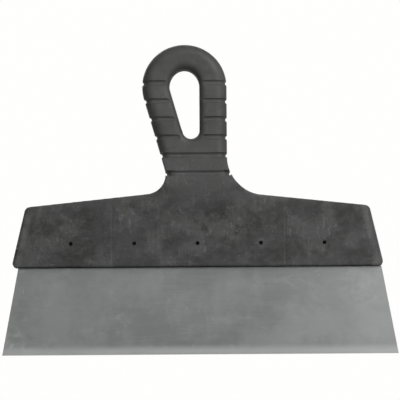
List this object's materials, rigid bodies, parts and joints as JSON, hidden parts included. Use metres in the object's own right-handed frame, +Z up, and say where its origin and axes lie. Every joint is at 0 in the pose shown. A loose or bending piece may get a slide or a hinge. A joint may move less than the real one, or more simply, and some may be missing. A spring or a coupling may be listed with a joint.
{
  "type": "flexible putty knife",
  "caption": "Wide flexible filling knife: thin sprung steel blade with slanted ends, pinned into a moulded plastic head with a grooved loop grip.",
  "frame": {"origin": "middle of the blade's working edge", "axes": "+Z up from the working edge along the handle, +X along the blade, -Y out of the front face"},
  "size_m": [0.25, 0.019, 0.1961],
  "materials": {
    "handle_plastic": "moulded polypropylene, dark grey, scuffed satin",
    "blade_steel": "rolled spring steel, satin, with a ground working edge",
    "pin_steel": "plain steel wire, cut"
  },
  "bodies": {
    "handle": {"handle": "handle_plastic", "blade_tang": "blade_steel", "blade_pins": "pin_steel"},
    "blade": {"blade": "blade_steel"}
  },
  "joints": [
    {"name": "blade_flex", "type": "hinge", "parent": "handle", "child": "blade", "pos_m": [0, 0, 0.0549], "axis": [1, 0, 0], "range_deg": [-25, 25], "stiffness_Nm_per_rad": 20.5}
  ]
}
